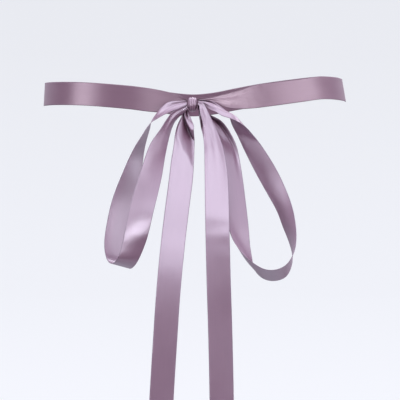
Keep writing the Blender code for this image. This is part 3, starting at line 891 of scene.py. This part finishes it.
# %% Hang the left tail
TAIL_END = -560.0
LEFT_TAIL = [
    Section(-6.3, -16.9, 99.4, -3.8, -18.7, 100.6, 0.18),
    Section(-8.8, -22.0, 101.0, -2.9, -22.7, 103.0, 0.32),
    Section(-10.9, -26.0, 102.6, -1.4, -26.8, 105.6, 0.50),
    Section(-13.4, -31.8, 106.0, 0.5, -31.6, 109.0, 0.71),
    Section(-15.2, -39.5, 110.0, 0.4, -39.5, 112.0, 0.79),
    Section(-16.4, -49.5, 114.0, 0.6, -49.5, 115.5, 0.86),
    Section(-18.2, -60.4, 118.5, 0.6, -60.4, 119.5, 0.95),
    Section(-20.1, -77.2, 125.0, -0.4, -77.2, 125.0),
    Section(-22.3, -93.8, 131.0, -2.5, -94.4, 131.0),
    Section(-25.1, -118.6, 138.8, -5.9, -120.4, 139.0),
    Section(-26.9, -135.0, 143.8, -7.6, -136.6, 144.2),
    Section(-28.8, -155.5, 148.8, -9.6, -157.0, 149.4),
    Section(-30.7, -176.0, 151.4, -11.0, -177.2, 152.2),
    Section(-32.4, -200.7, 152.2, -12.6, -202.0, 153.1),
    Section(-35.5, -250.0, 152.2, -15.6, -251.0, 153.2),
    Section(-39.6, -330.0, 151.6, -19.8, -331.0, 154.2),
    Section(-43.0, -400.0, 151.8, -23.3, -401.0, 154.2),
    Section(-46.2, -480.0, 154.2, -26.5, -481.0, 151.8),
    Section(-49.0, TAIL_END, 154.8, -29.3, TAIL_END - 0.8, 151.6),
]
EDGE_PLACES = (0.98, 0.99, 0.995, 1)


def edge_valley(at, start_lift, ridge, valley, edge_lift):
    """One row of folds where the valley has run out at edge b."""
    edge_pairs = [(across, edge_lift) for across in EDGE_PLACES]
    return Folds(at, ((0, start_lift), ridge, valley, *edge_pairs))


LEFT_TAIL_FOLDS = [
    Folds(0, ((0, 0), (0.05, 0.3), (0.12, -0.3), (0.30, 0.8), (0.50, -0.8), (0.70, 0.5), (1, -0.4))),
    Folds(5, ((0, 0), (0.04, 0.4), (0.11, -0.8), (0.32, 1.0), (0.60, -0.9), (0.78, 0.5), (1, -0.6))),
    Folds(10, ((0, 0), (0.14, 0.6), (0.40, -3.0), (0.47, 0.8), (0.80, 0.2), (0.93, -0.5), (1, -0.8))),
    Folds(16, ((0, 0.2), (0.12, 0.9), (0.60, -5.2), (0.66, 0.7), (0.85, 0.3), (0.95, 0.0), (1, -0.3))),
    Folds(21, ((0, 0.2), (0.12, 0.9), (0.78, -6.4), (0.83, 0.2), (0.92, 0.2), (0.96, 0.0), (1, -0.1))),
    edge_valley(26, 0.2, (0.16, 0.9), (0.92, -6.6), -6.4),
    edge_valley(31, 0.1, (0.29, 0.8), (0.97, -5.8), -5.8),
    edge_valley(37, 0.1, (0.44, 0.5), (0.97, -3.9), -3.9),
    edge_valley(44, 0, (0.72, 0.2), (0.97, -1.8), -1.8),
    edge_valley(54, 0, (0.90, 0), (0.97, 0), 0),
]
left_tail = ribbon("left_tail", LEFT_TAIL, LEFT_TAIL_FOLDS, knot_ends=(0,))
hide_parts("tail_left")

# %% [markdown]
# ## The right tail
# The right tail comes out over the top of the knot's side and falls in front of the
# right loop's strands, so it lies nearest the camera. A ridge runs down its inner edge
# beside a small recess. Lower down a few ripples cross it, a tenth of a millimetre high:
# satin shows even those. Their rows share the same places across, so a helper adds them.

# %% Hang the right tail
RIGHT_TAIL = [
    Section(3.7, -14.0, 104.4, 3.7, -10.8, 103.6, 0.17),
    Section(4.0, -17.4, 101.6, 8.6, -12.6, 105.4, 0.36),
    Section(3.7, -22.8, 102.4, 12.8, -20.0, 108.0, 0.52),
    Section(5.4, -29.8, 107.0, 16.7, -28.4, 111.2, 0.60),
    Section(8.0, -38.8, 115.6, 20.5, -38.6, 115.6, 0.63),
    Section(9.2, -49.7, 123.0, 24.3, -49.5, 121.0, 0.77),
    Section(9.5, -63.0, 128.2, 27.3, -62.8, 127.2, 0.90),
    Section(9.7, -77.2, 133.2, 28.9, -77.2, 132.8, 0.97),
    Section(10.0, -102.1, 141.7, 29.7, -102.1, 142.3),
    Section(10.2, -116.9, 145.5, 29.9, -116.9, 147.0),
    Section(10.6, -135.0, 148.9, 30.3, -135.0, 150.6),
    Section(11.3, -163.7, 151.6, 31.0, -163.7, 152.8),
    Section(12.4, -200.7, 152.4, 32.2, -200.7, 152.6),
    Section(13.5, -250.0, 152.8, 33.3, -250.0, 153.0),
    Section(14.6, -330.0, 151.8, 34.3, -330.0, 154.4),
    Section(15.4, -400.0, 152.0, 35.1, -400.0, 154.2),
    Section(16.1, -480.0, 154.2, 35.8, -480.0, 151.8),
    Section(16.6, TAIL_END, 155.0, 36.3, TAIL_END, 151.6),
]
RIPPLE_PLACES = (0, 0.02, 0.06, 0.14, 0.50, 0.80, 1)


def ripple(at, *lifts):
    """One row of folds at the places across that the low ripples share."""
    return Folds(at, tuple(zip(RIPPLE_PLACES, lifts)))


RIGHT_TAIL_FOLDS = [
    Folds(0, ((0, 0), (0.20, 0), (0.30, 0.5), (0.45, 0.2), (0.60, -0.2), (0.8, 0.2), (1, 0))),
    Folds(6, ((0, -1.4), (0.34, -2.4), (0.54, 3.6), (0.66, 2.4), (0.76, 1.4), (0.88, 0.9), (1, 0))),
    Folds(13, ((0, -1.6), (0.27, -3.0), (0.46, 4.8), (0.58, 3.4), (0.72, 1.8), (0.88, 1.2), (1, 0.2))),
    Folds(21, ((0, -1.4), (0.14, -2.2), (0.30, 3.8), (0.40, 3.0), (0.62, 2.2), (0.90, 2.2), (1, 1.3))),
    Folds(28, ((0, -0.4), (0.04, -0.4), (0.14, 2.2), (0.22, 1.7), (0.56, 1.8), (0.84, 2.2), (1, 1.6))),
    ripple(36, 0, 0.1, 0.4, 0.4, 1.1, 2.0, 1.7),
    ripple(60, 0, 0, 0.1, 0.1, 0.7, 0.9, 0.5),
    ripple(98, 0, 0, 0, 0, 0, 0, 0),
    ripple(108, 0.06, 0.06, 0.07, 0.08, 0.12, 0.14, 0.1),
    ripple(115, -0.06, -0.06, -0.07, -0.08, -0.12, -0.1, 0),
    ripple(123, 0.08, 0.08, 0.08, 0.1, 0.14, 0.24, 0.2),
    ripple(130, -0.04, -0.04, -0.04, -0.05, -0.1, -0.2, -0.1),
    ripple(139, 0.1, 0.1, 0.1, 0.1, 0.12, 0.14, 0.1),
    ripple(150, 0, 0, 0, 0, 0, 0, 0),
]
right_tail = ribbon("right_tail", RIGHT_TAIL, RIGHT_TAIL_FOLDS, knot_ends=(0,))
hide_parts("tail_right")

# %% [markdown]
# ## The waist band
# Round the waist the ribbon follows an oval. It is easier to give by the angle round
# the waist than by points in space: the table says how high its top and bottom edges
# run at each angle, how far it stands off the oval, and how far its lower edge flares.
# Zero is the middle behind, at the knot, where the band is open and gathered.

# %% Note the run of the waist band
WAIST_WIDTH = 259.0
WAIST_DEPTH = 190.0
Waist = namedtuple("Waist", "turn top bottom stand flare")
WAIST_BAND = [
    Waist(2.1, -9.8, -13.6, 3.0, 0.0),
    Waist(5.0, -6.0, -17.0, 1.8, 0.0),
    Waist(8.7, -3.2, -20.0, 0.9, 0.0),
    Waist(16.3, 0.3, -19.5, 0.3, 0.0),
    Waist(25.3, 2.9, -17.0, 0.0, 0.0),
    Waist(46.0, 6.4, -13.4, 0.0, 0.5),
    Waist(68.0, 7.8, -12.1, 0.0, 1.0),
    Waist(90.0, 8.2, -11.7, 0.0, 1.1),
    Waist(112.0, 10.2, -9.7, 0.0, 1.2),
    Waist(134.0, 11.2, -8.7, 0.0, 1.4),
    Waist(150.0, 9.8, -10.1, 0.0, 1.6),
    Waist(163.0, 6.4, -13.5, 0.0, 1.8),
    Waist(172.0, 3.2, -16.7, 0.0, 1.9),
    Waist(180.0, 1.8, -18.1, 0.0, 2.0),
    Waist(188.0, 3.4, -16.5, 0.0, 2.1),
    Waist(197.0, 7.2, -12.7, 0.0, 2.2),
    Waist(208.0, 11.2, -8.7, 0.0, 2.4),
    Waist(224.0, 14.6, -5.3, 0.0, 2.6),
    Waist(240.0, 16.1, -3.8, 0.0, 3.0),
    Waist(256.0, 14.4, -5.5, 0.0, 3.3),
    Waist(270.0, 11.7, -8.2, 0.0, 3.5),
    Waist(302.0, 12.2, -7.6, 0.0, 2.8),
    Waist(316.0, 9.0, -10.7, 0.0, 1.6),
    Waist(335.5, 3.5, -16.1, 0.2, 0.5),
    Waist(341.0, -0.1, -17.1, 0.4, 0.5),
    Waist(344.3, -2.3, -16.9, 0.8, 0.6),
    Waist(348.0, -4.6, -15.9, 1.5, 0.6),
    Waist(350.0, -5.7, -13.8, 2.0, 0.4),
    Waist(351.6, -6.5, -11.8, 2.4, 0.2),
    Waist(354.0, -7.3, -10.6, 2.8, 0.0),
    Waist(358.35, -8.6, -12.0, 3.2, 0.0),
]
print("The band is open over", round(360 + WAIST_BAND[0].turn - WAIST_BAND[-1].turn, 1), "degrees")

# %% [markdown]
# ## Laying the band
# The same steps as for a loop are used here: curves through the table, points across
# each section, gathers by the knot. Only the outer side of the cloth is found in
# another way, from the direction in which the oval runs at that angle.

# %% Wrap the waist band
BAND_STEP = 3.0
BAND_COLUMNS = 12
BAND_PLEATS = 2


def waist_point(turn, up, stand):
    """A point on the waist's oval, or a little outside it."""
    angle = math.radians(turn)
    half_width = WAIST_WIDTH / 2 + stand
    half_depth = WAIST_DEPTH / 2 + stand
    return place(-half_width * math.sin(angle), up, half_depth * math.cos(angle))


def waist_lines():
    """Rows of points across the band, and how far along the band each one is."""
    turns = [row.turn for row in WAIST_BAND]
    columns = [[getattr(row, field) for row in WAIST_BAND] for field in Waist._fields[1:]]
    tangents = [slopes(turns, column) for column in columns]
    girth = math.pi * (WAIST_WIDTH + WAIST_DEPTH) / 2
    count = round(girth / BAND_STEP)
    lines = []
    for i in range(count + 1):
        turn = turns[0] + (turns[-1] - turns[0]) * i / count
        top, bottom, stand, flare = [
            smooth_value(turns, column, slope, turn) for column, slope in zip(columns, tangents)
        ]
        upper = waist_point(turn, top, stand)
        lower = waist_point(turn, bottom, stand + flare)
        along = waist_point(turn + 1, 0, 0) - waist_point(turn - 1, 0, 0)
        direction = (lower - upper).normalized()
        face = along.cross(direction).normalized()
        spread = min((top - bottom) / RIBBON_WIDTH, 1.0)
        width = RIBBON_WIDTH * MM * spread
        depth = gather_depth(width, spread, BAND_PLEATS)
        line = []
        for j in range(BAND_COLUMNS + 1):
            across = j / BAND_COLUMNS
            lift = gather_lift(depth, BAND_PLEATS, across)
            line.append((upper + lower) / 2 + direction * (across - 0.5) * width + face * lift)
        lines.append(line)
    return lines, [girth * i / count for i in range(count + 1)]


band_lines, band_lengths = waist_lines()
band_mesh = grid_mesh("waist_band_ribbon", band_lines, band_lengths)
waist_band = cloth("waist_band_ribbon", band_mesh, shaded_band_satin)
waist_band["flat_length"] = band_lengths[-1]
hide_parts("waist_band")
print("The band is", round(band_lengths[-1]), "mm long")

# %% [markdown]
# ## The knot
# In the middle one narrow turn of ribbon wraps everything together. The ribbon is
# folded on itself there to a third of its width. It could be folded in layers, but only
# the outermost one shows, so it is made as a closed ring with soft pleats running round
# it, domed across, and narrower at its foot.

# %% Wrap the knot
KNOT_SIDE = -0.6
KNOT_OUT = 101.0
KNOT_UP = -13.8
WRAP_WIDTH = 6.2
WRAP_FOOT_WIDTH = 4.8
WRAP_HALF_DEPTH = 5.4
WRAP_HALF_HEIGHT = 5.8
WRAP_PLEATS = 3
WRAP_PLEAT_DEPTH = 0.34
WRAP_DOME = 0.75
WRAP_ROUND = 48
WRAP_COLUMNS = 16
WRAP_THICKNESS = 0.6

wrap_lines = []
for i in range(WRAP_ROUND):
    angle = math.tau * i / WRAP_ROUND
    height = math.sin(angle)
    width = WRAP_FOOT_WIDTH + (WRAP_WIDTH - WRAP_FOOT_WIDTH) * (1 + height) / 2
    line = []
    for j in range(WRAP_COLUMNS + 1):
        across = j / WRAP_COLUMNS
        lift = -WRAP_PLEAT_DEPTH * math.cos(math.tau * WRAP_PLEATS * across)
        lift -= WRAP_DOME * (2 * across - 1) ** 2
        out = KNOT_OUT + (WRAP_HALF_DEPTH + lift) * math.cos(angle)
        up = KNOT_UP + (WRAP_HALF_HEIGHT + lift) * height
        line.append(place(KNOT_SIDE + (across - 0.5) * width, up, out))
    wrap_lines.append(line)
wrap_length = math.pi * (WRAP_HALF_DEPTH + WRAP_HALF_HEIGHT)
wrap_lengths = [wrap_length * i / WRAP_ROUND for i in range(WRAP_ROUND + 1)]
wrap_mesh = grid_mesh("knot_turn", wrap_lines, wrap_lengths, closed=True)
knot_turn = cloth("knot_turn", wrap_mesh, shaded_knot_satin, WRAP_THICKNESS)
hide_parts("knot_wrap")
print("The turn round the knot is", round(wrap_length, 1), "mm long")

# %% [markdown]
# ## The bundle in the knot
# Inside the turn every stretch runs into one tight bundle. It shows only at both sides
# of the turn, mostly as shadow. A ball, swelled towards a block and creased lengthwise,
# is enough for it, and it hides the ends of all the other stretches.

# %% Fill the knot
CORE_SEGMENTS = 40
CORE_RINGS = 20
CORE_HALF_LENGTH = 3.9
CORE_HALF_DEPTH = 3.85
CORE_HALF_HEIGHT = 4.25
CORE_BLUNTNESS = 0.5
CORE_CREASES = 5
CORE_CREASE_DEPTH = 0.18
CORE_POLE = 0.001


def blunt(value):
    """Swell a ball's coordinate towards a block's."""
    return math.copysign(abs(value) ** CORE_BLUNTNESS, value)


core_mesh = bpy.data.meshes.new("knot_bundle")
bm = bmesh.new()
bm.loops.layers.uv.new(UV_NAME)
bmesh.ops.create_uvsphere(
    bm,
    u_segments=CORE_SEGMENTS,
    v_segments=CORE_RINGS,
    radius=1.0,
    calc_uvs=True,
)
for vert in bm.verts:
    ring = math.hypot(vert.co.x, vert.co.y)
    swell = blunt(ring) / ring if ring > CORE_POLE else 0.0
    way_round = math.atan2(vert.co.y, vert.co.x)
    crease = 1 - CORE_CREASE_DEPTH * abs(math.sin(CORE_CREASES * way_round))
    out = KNOT_OUT + CORE_HALF_DEPTH * vert.co.x * swell * crease
    up = KNOT_UP + CORE_HALF_HEIGHT * vert.co.y * swell * crease
    vert.co = place(KNOT_SIDE + CORE_HALF_LENGTH * blunt(vert.co.z), up, out)
bm.normal_update()
bmesh.ops.recalc_face_normals(bm, faces=bm.faces)
bm.to_mesh(core_mesh)
bm.free()
core_mesh.shade_smooth()
core_mesh.materials.append(shaded_knot_satin)
knot_bundle = bpy.data.objects.new("knot_bundle", core_mesh)
bpy.context.scene.collection.objects.link(knot_bundle)
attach(knot_bundle, "root")
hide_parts("knot_core")
print("Bundle vertices:", len(core_mesh.vertices))

# %% [markdown]
# ## What the cloth was cut to
# A ribbon keeps its width and length however it is tied. Each stretch carries the flat
# length of what shows of it, and a cut is given by its piece, its width, its length and
# how it is held. The turn round the knot is counted at half the ribbon's width, as its
# fold is only drawn. The flat lengths, with what is hidden in the knot, are what has to
# be cut from the roll.

Cut = namedtuple("Cut", "piece width length held")
